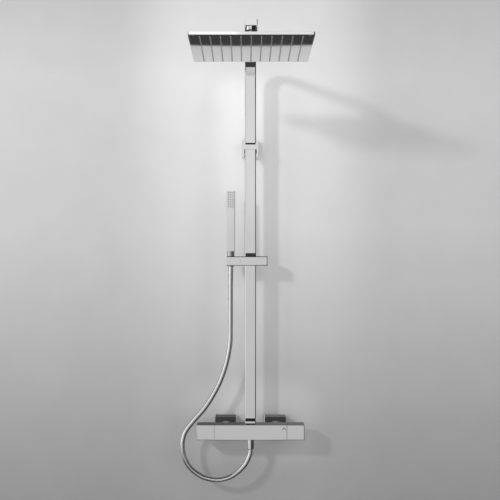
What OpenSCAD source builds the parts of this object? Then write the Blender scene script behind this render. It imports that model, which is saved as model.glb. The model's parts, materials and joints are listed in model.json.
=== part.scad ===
// Wall-mounted shower system: thermostatic bar mixer, riser, rain head, slider, handset and hose.
// +Z is up, +X is right, the wall is the plane y = 0 and the object stands in front of it, at y < 0.
// The origin is midway between the two wall inlets, on the axis of the mixer bar.

/* [Mixer bar] */
// Width of the mixer body between its two handles
body_w = 207; // [196:1:230]
// Side of the square section of the bar
bar_side = 43; // [42:0.5:48]
// Distance from the wall to the axis of the bar and the riser
bar_depth = 60; // [58:1:66]
// Radius of the long edges of the bar
bar_edge_r = 1.5; // [0.8:0.1:2.5]
// Wall of the outer casing of the mixer
shell_wall = 2; // [1.5:0.1:2.4]
// Length of the temperature handle
temp_handle_len = 50.5; // [46:0.5:60]
// Length of the flow handle
flow_handle_len = 50.5; // [46:0.5:60]
// Gap between the casing and each handle
handle_gap = 0.8; // [0.5:0.1:1.5]
// Thickness of the closed end of each handle
handle_end = 4; // [3:0.5:5]
// Radius of the upright edges at the end of each handle
handle_edge_r = 2; // [1:0.1:3]
// Radius of the cartridge chambers
chamber_r = 14; // [12:0.5:14.5]
// Length of the thermostatic cartridge
thermo_len = 52; // [46:1:56]
// Length of the flow and diverter cartridge
diverter_len = 44; // [40:1:50]
// Radius of the spindles that the handles turn
spindle_r = 4; // [3.5:0.1:4.5]
// Radius of the handle grub screws
grub_r = 2; // [1.5:0.1:2.2]

/* [Wall inlets] */
// Distance between the two threaded wall outlets
inlet_spacing = 150; // [146:1:154]
// Outer radius of the half-inch thread in the wall
wall_thread_r = 10.48; // [9:0.01:11]
// Length of the thread that enters the wall
wall_thread_len = 16; // [12:1:20]
// Outer radius of the thread that the union nut runs on
union_thread_r = 13.2; // [12.5:0.1:14]
// Width of the wall covers
cover_w = 62; // [60:1:66]
// Height of the wall covers
cover_h = 69; // [64:1:72]
// How far the wall covers sit above the axis of the bar
cover_lift = 2.2; // [1:0.1:2.5]
// Depth of the wall covers
cover_depth = 34; // [33:0.5:35]
// Wall of the wall covers
cover_wall = 2; // [1.5:0.1:2.5]
// Outer radius of the round collar on the union nuts
nut_collar_r = 25; // [22:0.5:26]
// Across-flats size of the hexagon on the union nuts
nut_hex = 34; // [32:0.5:36]

/* [Riser] */
// Width of the flat riser tube
riser_w = 31.5; // [30:0.5:34]
// Depth of the flat riser tube
riser_d = 16; // [15:0.5:17]
// Corner radius of the riser tube
riser_r = 3; // [2:0.1:4]
// Wall of the riser tube
riser_wall = 1.5; // [1:0.1:1.8]
// Height of the chrome socket on the mixer
socket_h = 7.8; // [6:0.2:10]
// Height of the black gasket above the socket
gasket_h = 8.7; // [6:0.1:10]
// Height of the joint between the two tubes
joint_z = 826.5; // [700:0.5:850]
// Centreline radius of the bend
bend_r = 54; // [48:1:60]
// Height of the centre of the horizontal arm
arm_z = 1070; // [1050:1:1090]
// Distance from the wall to the end of the arm
arm_reach = 349; // [348:1:356]

/* [Wall bracket] */
// Width of the bracket's wall plate
plate_w = 49; // [46:1:60]
// Height of the bracket's wall plate
plate_h = 49; // [46:1:58]
// Depth of the bracket's wall plate
plate_depth = 12; // [10:0.5:14]
// Height of the clamp band round the riser
band_h = 13.8; // [12:0.2:16]
// Wall of the clamp band beside the riser
band_wall = 1.55; // [1.4:0.05:2.5]
// Height of the black ring between the two tubes
collar_h = 5; // [4:0.2:6]
// Distance between the two wall screws
screw_spacing = 28; // [24:1:30]
// Height of the black liner under the clamp band
liner_h = 9; // [6:0.5:10]
// Radius of the wall screws
screw_r = 2.5; // [2:0.1:3]
// Length of the wall screws behind the wall surface
screw_len = 35; // [25:1:45]

/* [Slider] */
// Height of the middle of the slider
slider_z = 489.5; // [470:0.5:520]
// Height of the slider block
slider_h = 27; // [25:0.5:30]
// Depth of the slider block
slider_d = 36; // [34:0.5:38]
// Reach of the slider block to the right of the riser's axis
slider_right = 48.4; // [48:0.2:56]
// Radius of the long edges of the slider and the holder
slider_edge_r = 3; // [2:0.1:3.5]
// Distance from the riser's axis to the seam with the holder
seam_x = 29; // [28:0.2:30]
// Height of the black lip on the slider
lip_h = 9.5; // [7:0.5:12]
// Travel of the release button
button_travel = 3; // [2:0.5:3.5]
// Width of the release button
button_d = 18; // [16:0.5:20]
// Height of the release button
button_h = 16; // [14:0.5:18]

/* [Handset and holder] */
// Distance from the riser's axis to the handset's axis
handset_x = 56.5; // [56:0.5:60]
// Width of the square handset
handset_w = 23; // [22:0.5:24]
// Depth of the square handset
handset_d = 22; // [21:0.5:23]
// Wall of the handset
handset_wall = 1.8; // [1.2:0.1:2]
// Length of the handset above its nut
handset_len = 173.5; // [160:0.5:190]
// Height of the spray field at the top of the handset
spray_h = 52; // [44:1:60]
// Distance between the columns of handset nozzles
spray_pitch = 6.2; // [5.8:0.1:6.6]
// Radius of the round collar of the conical nut
cone_collar_r = 10.3; // [9.8:0.1:10.4]
// Radius of the cone at its wide end
cone_top_r = 9.6; // [9.2:0.1:9.7]
// Radius of the cone at its narrow end
cone_low_r = 7.8; // [7.6:0.1:8.2]
// Depth of the holder block
holder_d = 32; // [30:0.5:34]
// Wall of the holder's plastic liner
liner_wall = 0.8; // [0.6:0.1:0.9]

/* [Hose] */
// Outer radius of the hose
hose_r = 7; // [6:0.1:7.2]
// Outer radius of the hose nut under the mixer
hose_nut_r = 10.35; // [10:0.05:11]
// Height of the hose nut under the mixer
hose_nut_h = 29.7; // [26:0.1:32]

/* [Rain head] */
// Width of the rain head
head_w = 300; // [290:5:320]
// Depth of the rain head, front to back
head_d = 200; // [190:5:220]
// Thickness of the rain head at its edge
head_t = 7; // [6.5:0.5:9]
// Distance from the middle of the arm down to the underside of the rain head
head_drop = 61; // [60:0.5:63]
// Distance from the end of the arm back to the middle of the rain head
head_setback = 17; // [16:1:22]
// Corner radius of the rain head
head_r = 3; // [2.5:0.5:8]
// Distance between the nozzle columns
nozzle_pitch_x = 24.5; // [22:0.5:26]
// Distance between the nozzle rows
nozzle_pitch_y = 12.5; // [12:0.5:14]
// Least distance from the middle of a nozzle to the edge of the rain head
nozzle_margin = 12; // [11:0.5:12.5]
// Radius of the tips of the rain head's nozzles
nozzle_r = 1.6; // [1.2:0.1:1.8]
// Radius of the holes that the tips stand in
nozzle_hole_r = 2.2; // [1.9:0.1:2.4]
// Radius of the ball in the swivel joint
ball_r = 11; // [10:0.1:11.4]
// Distance from the middle of the arm down to the centre of the swivel ball
ball_drop = 30; // [29:0.5:31]
// Radius of the visible swivel connector
connector_r = 14.75; // [14:0.25:16]

/* [Hidden] */
$fn = 64;
corner_steps = 6;
// Running fit between a shaft and its hole, fit between still pieces, and gap between moving pieces
slip = 0.05;
fit = 0.1;
seat = 0.3;
far = 1;

bar_half = bar_side / 2;
body_half = body_w / 2;
back_depth = bar_depth - bar_half;
temp_end = body_half + temp_handle_len;
flow_end = body_half + flow_handle_len;

// Inner body of the mixer
core_r = bar_half - shell_wall - seat;
core_half = body_half - 2;
nipple_r = 10.2;
nipple_bore = 7.2;
nipple_hole = nipple_r + seat;
flange_r = union_thread_r - 0.7;
flange_t = 2.7;
washer_t = 2.3;
cover_x = body_half - cover_w / 2;
union_depth = 22;
union_base = 8;
flange_depth = union_depth + washer_t;
gallery_r = 7;
outlet_r = 8;
outlet_bore = 5;

// Cartridges, handles and what holds them
neck_r = 10;
neck_len = 14;
ring_len = 9;
ring_r = core_r - 1.7;
cavity_r = bar_half - 3.2;
hub_r = cavity_r - seat;
hub_gap = 5;
spindle_in = 12;
spindle_out = 36;
grub_back = 18;

// Riser, gasket, joint and bend; the black rings lie in from the faces of the tube
riser_y = -bar_depth;
socket_z = bar_half;
foot_t = 2;
gasket_z = socket_z + socket_h;
tube_z = gasket_z + gasket_h;
bore_w = riser_w - 2 * riser_wall;
bore_d = riser_d - 2 * riser_wall;
bore_r = riser_r - riser_wall / 2;
ring_inset = 1.4;
ring_w = riser_w - 2 * ring_inset;
ring_d = riser_d - 1.4;
ring_r_out = 1.4;
neck_w = ring_w - 2.8;
neck_d = ring_d - 2.8;
spigot_len = 24;
coupling_half = 30;
bend_z = arm_z - bend_r;
bend_y = riser_y - bend_r;
arm_low = arm_z - riser_d / 2;
cap_t = 3;
cap_edge_r = 2;
plug_len = 3;
seal_t = 2.4;
seal_offset = 20;

// Wall bracket
band_z = joint_z - collar_h / 2 - band_h;
band_mid = band_z + band_h / 2;
band_front = bar_depth + riser_d / 2 + 2.5;
plate_mid = band_mid + 5;
base_t = 4;
plate_wall = 2;
post_r = 4;
post_end = bar_depth - riser_d / 2 - 8;
grub_depth = post_end - 8;
screw_head_t = 2.5;
liner_back = bar_depth - riser_d / 2 - 6;
liner_front = bar_depth + riser_d / 2 - 4;

// Slider
slider_low = slider_z - slider_h / 2;
slider_top = slider_z + slider_h / 2;
bush_wall = 2;
lip_wall = 0.8;
pad_d = 8;
pad_h = 15;
pocket_x = riser_w / 2 + bush_wall + 7;
button_in = pocket_x + 2 * button_travel;
pin_r = 4;
pin_in = 41;
pin_out = 22;
spring_r = 4;
spring_wire = 0.6;
spring_turns = 5;

// Holder and handset
holder_left = handset_x + handset_w / 2 + 0.5;
holder_right = seam_x + 0.6;
cone_low = slider_low - 3;
collar_top = slider_top + 15;
cone_step = (cone_top_r - cone_low_r) / slider_h;
liner_r = cone_top_r + seat + liner_wall;
slot_w = 2 * hose_r + 1;
handset_top = collar_top + handset_len;
spray_low = handset_top - spray_h;
spray_t = 1.6;
spray_w = handset_w - 2.6;
spray_margin = 3;
spray_rows = 9;
spray_columns = 3;
spray_hole_r = 1.4;
spray_tip_r = 0.9;
spray_row_pitch = (spray_h - 2 * spray_margin - 5) / (spray_rows - 1);
spray_open_w = (spray_columns - 1) * spray_pitch + 2 * spray_hole_r;
spray_open_h = (spray_rows - 1) * spray_row_pitch + 2 * spray_hole_r;

// Rain head
head_y = head_setback - arm_reach;
head_z = arm_z - head_drop;
ball_z = arm_z - ball_drop;
head_top_z = head_z + head_t;
head_wall = 2;
plate_t = 2;
top_t = 1.5;
mat_t = 1;
nozzle_drop = 1.8;
nozzle_columns = 2 * floor((head_w / 2 - nozzle_margin) / nozzle_pitch_x) + 1;
nozzle_rows = 2 * floor((head_d / 2 - nozzle_margin) / nozzle_pitch_y) + 1;
boss_r = 16;
liner_in = ball_r + slip;
liner_out = ball_r + 1.4;
pocket_r = liner_out + slip;
neck_ball_r = 6;
water_r = 4;
connector_z = ball_z + 12.5;
head_collar_r = 18.5;
head_collar_top = ball_z + 7;
head_collar_low = ball_z - 10;
head_screw_x = head_w / 2 - 12;
head_screw_y = head_d / 2 - 6;

// Route of the hose in the plane of the riser's axis: x and z of each point
hose_points = [
    [0, -51.2], [0, -57], [-1.8, -67], [-7, -81], [-16.8, -98], [-33.8, -115.6], [-56, -130.8],
    [-78, -138.3], [-97, -140.4], [-114, -138.6], [-136.7, -132.4], [-161.5, -117],
    [-178.4, -99.4], [-191, -75], [-196, -48], [-194.6, -24], [-185.8, 1], [-163.6, 29.8],
    [-133, 65], [-107.6, 103.5], [-86.7, 145], [-71.1, 189.5], [-62, 231], [-58.2, 262],
    [-57.8, 300], [-57.6, 340], [-57.6, 380], [-57.4, 420], [-56.9, 450], [-56.5, 473]
];

// Outlines

function corner(x, y, r, start) =
    [for (i = [0:corner_steps]) let (a = start + 90 * i / corner_steps)
        [x + r * cos(a), y + r * sin(a)]];

function round_rect(w, h, r) = concat(
    corner(w / 2 - r, h / 2 - r, r, 0), corner(r - w / 2, h / 2 - r, r, 90),
    corner(r - w / 2, r - h / 2, r, 180), corner(w / 2 - r, r - h / 2, r, 270));

// Prisms and rods along each axis; depths are distances in front of the wall

module bar_x(d, h, r, x0, x1) {
    translate([x0, 0, 0]) rotate([90, 0, 90])
        linear_extrude(x1 - x0) polygon(round_rect(d, h, r));
}

module bar_y(w, h, r, d0, d1) {
    translate([0, -d0, 0]) rotate([90, 0, 0])
        linear_extrude(d1 - d0) polygon(round_rect(w, h, r));
}

module bar_z(w, d, r, z0, z1) {
    translate([0, 0, z0]) linear_extrude(z1 - z0) polygon(round_rect(w, d, r));
}

module rod_x(r, x0, x1) {
    translate([x0, 0, 0]) rotate([0, 90, 0]) cylinder(r = r, h = x1 - x0);
}

module rod_y(r, d0, d1) {
    translate([0, -d0, 0]) rotate([90, 0, 0]) cylinder(r = r, h = d1 - d0);
}

module rod_z(r, z0, z1) {
    translate([0, 0, z0]) cylinder(r = r, h = z1 - z0);
}

module on_bar() {
    translate([0, -bar_depth, 0]) children();
}

// A tube swept through points, as one closed skin

function unit(v) = v / norm(v);

function heading(p, i) =
    unit(p[min(i + 1, len(p) - 1)] - p[max(i - 1, 0)]);

function ring_points(p, i, side, r, sides) =
    let (t = heading(p, i), u = unit(cross(side, t)), v = cross(t, u))
    [for (k = [0:sides - 1]) p[i] + r * (cos(360 * k / sides) * u + sin(360 * k / sides) * v)];

module swept_tube(p, side, r, sides) {
    rings = [for (i = [0:len(p) - 1]) each ring_points(p, i, side, r, sides)];
    last = (len(p) - 1) * sides;
    skin = [for (i = [0:len(p) - 2]) for (k = [0:sides - 1])
        let (a = i * sides + k, b = i * sides + (k + 1) % sides)
        each [[a, b, b + sides], [a, b + sides, a + sides]]];
    ends = [[for (k = [sides - 1:-1:0]) k], [for (k = [0:sides - 1]) last + k]];
    polyhedron(points = rings, faces = concat([for (f = skin) [f[2], f[1], f[0]]],
        [for (f = ends) [for (k = [len(f) - 1:-1:0]) f[k]]]));
}

// Mixer

module mixer_casing() {
    color("silver") on_bar() difference() {
        bar_x(bar_side, bar_side, bar_edge_r, -body_half, body_half);
        bar_x(bar_side - 2 * shell_wall, bar_side - 2 * shell_wall, bar_edge_r / 2,
            -body_half - far, body_half + far);
        for (side = [-1, 1]) translate([side * cover_x, bar_depth, 0])
            rod_y(nipple_hole, back_depth - far, bar_depth);
        rod_z(outlet_r + seat, -bar_half - far, bar_half + far);
    }
}

module waterway_core() {
    color("goldenrod") difference() {
        union() {
            on_bar() rod_x(core_r, -core_half, core_half);
            for (side = [-1, 1]) translate([side * cover_x, 0, 0]) {
                rod_y(nipple_r, flange_depth, bar_depth);
                rod_y(flange_r, flange_depth, flange_depth + flange_t);
            }
            on_bar() rod_z(outlet_r - 0.2, -bar_half - 13.5, 0);
        }
        on_bar() {
            rod_x(chamber_r, core_half - thermo_len, core_half + far);
            rod_x(chamber_r, -core_half - far, diverter_len - core_half);
            rod_x(gallery_r, -core_half, core_half);
            rod_z(outlet_bore, -bar_side, 0);
            rod_z(outlet_r + fit / 2, core_r - 5, core_r + far);
            rod_z(outlet_bore, 0, core_r);
        }
        for (side = [-1, 1]) translate([side * cover_x, 0, 0])
            rod_y(nipple_bore, flange_depth - far, bar_depth - chamber_r / 2);
    }
}

// The cartridge lies along +X, with its neck outside the chamber
module cartridge(length, half) {
    difference() {
        union() {
            rod_x(chamber_r - fit, half - length, half);
            rod_x(neck_r, half - fit, half + neck_len);
        }
        rod_x(spindle_r + slip, half - spindle_in, half + neck_len + far);
        for (x = [half - length + 10, half - length + 24]) difference() {
            rod_x(chamber_r + far, x, x + 5);
            rod_x(chamber_r - 3, x - far, x + 5 + far);
        }
    }
}

module thermostatic_cartridge() {
    color("gainsboro") on_bar() cartridge(thermo_len - fit, core_half);
}

module diverter_cartridge() {
    color("gainsboro") on_bar() mirror([1, 0, 0]) cartridge(diverter_len - fit, core_half);
}

module retaining_rings() {
    color("goldenrod") on_bar() for (side = [0, 1]) mirror([side, 0, 0]) difference() {
        rod_x(ring_r, core_half, core_half + ring_len);
        rod_x(neck_r + fit, core_half - far, core_half + ring_len + far);
        for (a = [0, 90]) rotate([a, 0, 0])
            translate([core_half + ring_len - 2, -ring_r - far, -2]) cube([4, 2 * ring_r + 2 * far, 4]);
    }
}

module check_valves() {
    color("white") for (side = [-1, 1]) translate([side * cover_x, 0, 0]) difference() {
        rod_y(nipple_bore - fit, flange_depth + 1, back_depth + 4);
        rod_y(nipple_bore - 2.2, flange_depth, flange_depth + 5);
        rod_y(nipple_bore - 3.2, flange_depth + 4, back_depth + 5);
    }
}

module inlet_washers() {
    color("black") for (side = [-1, 1]) translate([side * cover_x, 0, 0]) difference() {
        rod_y(flange_r, union_depth, flange_depth);
        rod_y(nipple_bore, union_depth - far, flange_depth + far);
    }
}

module union_nuts() {
    nut_back = union_base + 5;
    nut_front = back_depth - 1;
    collar_back = cover_depth - 1.5;
    color("silver") for (side = [-1, 1]) translate([side * cover_x, 0, 0]) difference() {
        union() {
            translate([0, -nut_back, 0]) rotate([90, 0, 0])
                cylinder(r = nut_hex / 2 / cos(30), h = collar_back - nut_back + 0.5, $fn = 6);
            rod_y(nut_collar_r, collar_back, nut_front);
        }
        rod_y(union_thread_r + slip, nut_back - far, flange_depth + flange_t + fit);
        rod_y(nipple_r + fit, nut_back, nut_front + far);
    }
}

module wall_unions() {
    offset_x = inlet_spacing / 2 - cover_x;
    color("silver") for (side = [0, 1]) mirror([side, 0, 0])
        translate([cover_x, 0, 0]) difference() {
            union() {
                translate([offset_x, 0, 0]) rod_y(wall_thread_r, -wall_thread_len, union_base);
                translate([offset_x / 2, 0, 0]) rod_y(union_thread_r + 4, far, union_base);
                rod_y(union_thread_r, union_base - far, union_depth);
            }
            translate([offset_x, 0, 0]) rod_y(6.5, -wall_thread_len - far, union_base - 2);
            rod_y(nipple_bore, union_base - 4, union_depth + far);
        }
}

module wall_cover(side) {
    translate([side * cover_x, 0, 0]) difference() {
        translate([0, 0, cover_lift]) bar_y(cover_w, cover_h, 1.5, 0, cover_depth);
        translate([0, 0, cover_lift]) bar_y(cover_w - 2 * cover_wall, cover_h - 2 * cover_wall, 1,
            -far, cover_depth - cover_wall);
        rod_y(nut_collar_r + 0.5, 0, cover_depth + far);
    }
}

module left_wall_cover() {
    color("silver") wall_cover(-1);
}

module right_wall_cover() {
    color("silver") wall_cover(1);
}

// A black plate on the front of each cover, with a raised rim round its hole
module cover_seals() {
    color("black") for (side = [-1, 1]) translate([side * cover_x, 0, 0]) difference() {
        union() {
            translate([0, 0, cover_lift])
                bar_y(cover_w - 1, cover_h - 1, 1.5, cover_depth, cover_depth + 1.4);
            rod_y(cover_w / 2 - 1.5, cover_depth, cover_depth + 2.4);
        }
        rod_y(cover_w / 2 - 3, cover_depth + 1.4, cover_depth + 2.4 + far);
        rod_y(nut_collar_r + 0.5, 0, cover_depth + 2.4);
    }
}

module hose_washer() {
    color("black") on_bar() difference() {
        rod_z(outlet_r - 0.3, -bar_half - 15.5, -bar_half - 13.5);
        rod_z(outlet_bore, -bar_side - 20, 0);
    }
}

module hose_nut() {
    nut_low = -bar_half - hose_nut_h;
    color("silver") on_bar() difference() {
        union() {
            rod_z(hose_nut_r, nut_low + 1.5, -bar_half - seat);
            translate([0, 0, nut_low])
                cylinder(r1 = hose_nut_r - 1.2, r2 = hose_nut_r, h = 1.5);
        }
        rod_z(outlet_r - 0.2 + slip, -bar_half - 15.5, 0);
        rod_z(outlet_bore, nut_low - far, 0);
    }
}

module hose() {
    route = [for (q = hose_points) [q[0], riser_y, q[1]]];
    color("lightgray") swept_tube(route, [0, 1, 0], hose_r, 10);
}

// Riser

module riser_ring(w, d, r, wall, z0, z1) {
    difference() {
        bar_z(w, d, r, z0, z1);
        bar_z(w - 2 * wall, d - 2 * wall, max(r - wall / 2, 0.5), z0 - far, z1 + far);
    }
}

module riser_socket() {
    color("silver") on_bar() difference() {
        union() {
            rod_z(outlet_r, core_r - 5, socket_z);
            bar_z(neck_w, neck_d, 1, socket_z, socket_z + foot_t + fit);
            bar_z(riser_w, riser_d, riser_r, socket_z + foot_t, gasket_z);
            bar_z(neck_w, neck_d, 1, gasket_z - fit, tube_z + fit);
            bar_z(bore_w - 2 * fit, bore_d - 2 * fit, bore_r, tube_z, tube_z + spigot_len);
        }
        rod_z(outlet_bore, 0, tube_z + spigot_len + far);
    }
}

// A black ring round the neck of a spigot
module black_ring(z0, z1) {
    difference() {
        bar_z(ring_w, ring_d, ring_r_out, z0, z1);
        bar_z(neck_w + fit, neck_d + fit, 1, z0 - far, z1 + far);
    }
}

module riser_gasket() {
    color("black") on_bar() {
        black_ring(socket_z, socket_z + foot_t);
        black_ring(gasket_z, tube_z);
    }
}

module lower_riser() {
    color("silver") on_bar() riser_ring(riser_w, riser_d, riser_r, riser_wall,
        tube_z, joint_z - collar_h / 2);
}

module riser_coupling() {
    color("white") on_bar() difference() {
        bar_z(bore_w - 2 * fit, bore_d - 2 * fit, bore_r,
            joint_z - coupling_half, joint_z + coupling_half);
        difference() {
            bar_z(riser_w, riser_d, riser_r, joint_z - collar_h / 2, joint_z + collar_h / 2);
            bar_z(neck_w, neck_d, 1, joint_z - collar_h, joint_z + collar_h);
        }
        bar_z(bore_w - 5, bore_d - 5, 2, joint_z - coupling_half - far,
            joint_z + coupling_half + far);
        for (side = [-1, 1]) difference() {
            z = joint_z + side * seal_offset;
            bar_z(riser_w, riser_d, riser_r, z - seal_t / 2, z + seal_t / 2);
            bar_z(bore_w - 2.4, bore_d - 2.4, bore_r, z - seal_t, z + seal_t);
        }
    }
}

module coupling_seals() {
    color("black") on_bar() for (side = [-1, 1]) difference() {
        z = joint_z + side * seal_offset;
        bar_z(bore_w - fit, bore_d - fit, bore_r, z - seal_t / 2 + fit, z + seal_t / 2 - fit);
        bar_z(bore_w - 2.2, bore_d - 2.2, bore_r, z - seal_t, z + seal_t);
    }
}

module joint_collar() {
    color("black") on_bar() black_ring(joint_z - collar_h / 2, joint_z + collar_h / 2);
}

// The riser above the joint, its bend and the arm, with w, d and r as the section
module bent_tube(w, d, r, z0, d1) {
    on_bar() bar_z(w, d, r, z0, bend_z);
    translate([0, bend_y, bend_z]) rotate([90, 0, 90])
        rotate_extrude(angle = 90) translate([bend_r, 0]) polygon(round_rect(d, w, r));
    translate([0, 0, arm_z]) bar_y(w, d, r, -bend_y, d1);
}

module upper_riser() {
    color("silver") difference() {
        bent_tube(riser_w, riser_d, riser_r, joint_z + collar_h / 2, arm_reach - cap_t);
        bent_tube(bore_w, bore_d, bore_r, joint_z, arm_reach);
        translate([0, head_y, 0]) rod_z(outlet_r + fit, arm_low - far, arm_z);
    }
}

module arm_end_cap() {
    color("silver") translate([0, 0, arm_z]) {
        intersection() {
            bar_y(riser_w, riser_d, riser_r, arm_reach - cap_t, arm_reach);
            translate([0, riser_d - arm_reach, 0])
                bar_z(riser_w, 2 * riser_d, cap_edge_r, -riser_d, riser_d);
        }
        bar_y(bore_w - 2 * fit, bore_d - 2 * fit, bore_r, arm_reach - cap_t - plug_len,
            arm_reach - cap_t + fit);
    }
}

module arm_nipple() {
    color("goldenrod") translate([0, head_y, 0]) difference() {
        union() {
            rod_z(outlet_r, connector_z + 1.5, arm_low + 3);
            rod_z(outlet_r + 2, arm_low + riser_wall + fit, arm_low + 5);
        }
        rod_z(outlet_bore, connector_z, arm_z);
    }
}

// Wall bracket

module bracket_base() {
    color("gray") translate([0, 0, plate_mid]) difference() {
        union() {
            bar_y(plate_w - 2 * plate_wall - 1, plate_h - 2 * plate_wall - 1, 1, 0, base_t);
            translate([0, 0, band_mid - plate_mid]) rod_y(post_r, base_t - far, post_end);
        }
        for (side = [-1, 1]) translate([side * screw_spacing / 2, 0, 0])
            rod_y(screw_r + fit, -far, base_t + far);
    }
}

module bracket_plate() {
    color("silver") translate([0, 0, plate_mid]) difference() {
        bar_y(plate_w, plate_h, 1.5, 0, plate_depth);
        bar_y(plate_w - 2 * plate_wall, plate_h - 2 * plate_wall, 1,
            -far, plate_depth - plate_wall);
        translate([0, 0, band_mid - plate_mid])
            rod_y(post_r + fit, 0, plate_depth + far);
    }
}

module bracket_arm() {
    band_w = riser_w + 2 * (fit + band_wall);
    color("silver") difference() {
        translate([0, 0, band_mid]) bar_y(band_w, band_h, 1, plate_depth, band_front);
        on_bar() bar_z(riser_w + 2 * fit, riser_d + 2 * fit, riser_r,
            band_z - far, band_z + band_h + far);
        translate([0, 0, band_mid]) rod_y(post_r + slip, plate_depth - far, post_end + seat);
        translate([0, -grub_depth, 0]) rod_z(grub_r + fit, band_z - far, band_mid - post_r + slip);
    }
}

// A black liner under the band, round the back and the sides of the tube
module bracket_liner() {
    color("black") difference() {
        translate([0, 0, band_z - liner_h / 2])
            bar_y(riser_w + 4, liner_h, 0.6, liner_back, liner_front);
        on_bar() bar_z(riser_w + 2 * fit, riser_d + 2 * fit, riser_r,
            band_z - liner_h - far, band_z + far);
    }
}

module bracket_grub_screw() {
    color("gray") translate([0, -grub_depth, 0]) difference() {
        rod_z(grub_r, band_z + 0.5, band_mid - post_r - slip);
        translate([0, 0, band_z]) cylinder(r = grub_r / 2, h = 1.6, $fn = 6);
    }
}

module wall_screws() {
    color("gray") translate([0, 0, plate_mid]) for (side = [-1, 1])
        translate([side * screw_spacing / 2, 0, 0]) difference() {
            union() {
                rod_y(screw_r, -screw_len, -far);
                rod_y(screw_r - 0.4, -far - fit, base_t + far);
                rod_y(screw_r * 1.8, base_t, base_t + screw_head_t);
            }
            for (a = [0, 90]) rotate([0, a, 0]) translate([-screw_r, -base_t - screw_head_t - 1, -0.5])
                cube([2 * screw_r, 2, 1]);
        }
}

// Handles: each lies along +X, from the seam to its closed end

module handle(end) {
    start = body_half + handle_gap;
    difference() {
        intersection() {
            bar_x(bar_side, bar_side, bar_edge_r, start, end);
            translate([end - bar_side, 0, 0])
                bar_z(2 * bar_side, bar_side, handle_edge_r, -bar_side, bar_side);
        }
        rod_x(cavity_r, start - far, end - handle_end);
        translate([end - grub_back, 0, 0]) rod_z(grub_r + fit, -bar_half - far, 0);
    }
}

module handle_hub(end) {
    difference() {
        union() {
            rod_x(hub_r, body_half + neck_len + hub_gap, end - handle_end);
            rod_x(hub_r - 5, body_half + neck_len, end - handle_end);
        }
        rod_x(spindle_r + slip, body_half, body_half + spindle_out + slip);
        translate([end - grub_back, 0, 0]) rod_z(grub_r + fit, -bar_half, 0);
    }
}

module handle_spindle(end) {
    difference() {
        rod_x(spindle_r, core_half - spindle_in + seat, body_half + spindle_out);
        translate([end - grub_back, 0, 0]) rod_z(grub_r + fit, -bar_half, 1 - spindle_r);
    }
}

module handle_grub(end) {
    translate([end - grub_back, 0, 0]) difference() {
        rod_z(grub_r, -bar_half + 1, 1 - spindle_r - slip);
        translate([0, 0, -bar_half]) cylinder(r = grub_r / 2, h = 3, $fn = 6);
    }
}

module temperature_handle() {
    color("silver") on_bar() handle(temp_end);
}

module temperature_hub() {
    color("dimgray") on_bar() handle_hub(temp_end);
}

module temperature_spindle() {
    color("goldenrod") on_bar() handle_spindle(temp_end);
}

module temperature_grub_screw() {
    color("gray") on_bar() handle_grub(temp_end);
}

module flow_handle() {
    color("silver") on_bar() mirror([1, 0, 0]) handle(flow_end);
}

module flow_hub() {
    color("dimgray") on_bar() mirror([1, 0, 0]) handle_hub(flow_end);
}

module flow_spindle() {
    color("goldenrod") on_bar() mirror([1, 0, 0]) handle_spindle(flow_end);
}

module flow_grub_screw() {
    color("gray") on_bar() mirror([1, 0, 0]) handle_grub(flow_end);
}

// Slider

module slider_body() {
    color("silver") on_bar() difference() {
        intersection() {
            translate([0, 0, slider_z])
                bar_x(slider_d, slider_h, slider_edge_r, -seam_x, slider_right);
            translate([slider_right - body_half, 0, 0])
                bar_z(2 * body_half, slider_d, slider_edge_r, slider_low - far, slider_top + far);
        }
        bar_z(riser_w + 2 * bush_wall + 4 * fit, riser_d + 2 * bush_wall + 4 * fit,
            riser_r, slider_low - far, slider_top + far);
        translate([0, 0, slider_z]) {
            bar_x(button_d, button_h, 1.5, pocket_x, slider_right + far);
            bar_x(pad_d, pad_h, 0.5, riser_w / 2, riser_w / 2 + 6);
            rod_x(pin_r, -seam_x - far, -pin_out);
        }
    }
}

module slider_bush() {
    inner_w = riser_w + 2 * fit;
    inner_d = riser_d + 2 * fit;
    color("black") on_bar() difference() {
        union() {
            bar_z(inner_w + 2 * bush_wall, inner_d + 2 * bush_wall, riser_r,
                slider_low + 0.5, slider_top - 0.5);
            bar_z(ring_w, inner_d + 2 * lip_wall, 0.6, slider_top - 1, slider_top + lip_h);
        }
        bar_z(inner_w, inner_d, riser_r, slider_low - far, slider_top + lip_h + far);
        translate([0, 0, slider_z]) bar_x(pad_d, pad_h, 0.5, 0, riser_w);
    }
}

module brake_pad() {
    color("black") on_bar() translate([0, 0, slider_z])
        bar_x(pad_d - 2 * fit, pad_h - 2 * fit, 0.5, riser_w / 2 + fit, riser_w / 2 + 6 - fit);
}

module pivot_pin() {
    color("gray") on_bar() translate([0, 0, slider_z]) {
        rod_x(pin_r - slip, -pin_in + seat, -pin_out);
        rod_x(pin_r + 1.5, -seam_x - 0.45, -seam_x - 0.05);
    }
}

module button_spring() {
    coil_len = button_in - pocket_x - spring_wire;
    turns = spring_turns;
    steps = 14;
    route = [for (i = [0:turns * steps]) let (a = 360 * i / steps)
        [pocket_x + spring_wire / 2 + 0.15 + (coil_len - 0.3) * i / (turns * steps),
            riser_y + spring_r * cos(a), slider_z + spring_r * sin(a)]];
    color("gray") swept_tube(route, [1, 0, 0], spring_wire / 2, 6);
}

module release_button() {
    color("silver") on_bar() translate([0, 0, slider_z])
        bar_x(button_d - 2 * seat, button_h - 2 * seat, 1.2, button_in, slider_right);
}

// Holder

module cone_space(gap, z0, z1) {
    r0 = cone_low_r + gap + (z0 - slider_low) * cone_step;
    r1 = cone_low_r + gap + (z1 - slider_low) * cone_step;
    translate([0, 0, z0]) cylinder(r1 = r0, r2 = r1, h = z1 - z0);
}

module hose_slot() {
    translate([-slot_w / 2, 0, slider_low - far])
        cube([slot_w, holder_d, slider_h + 2 * far]);
}

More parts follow.
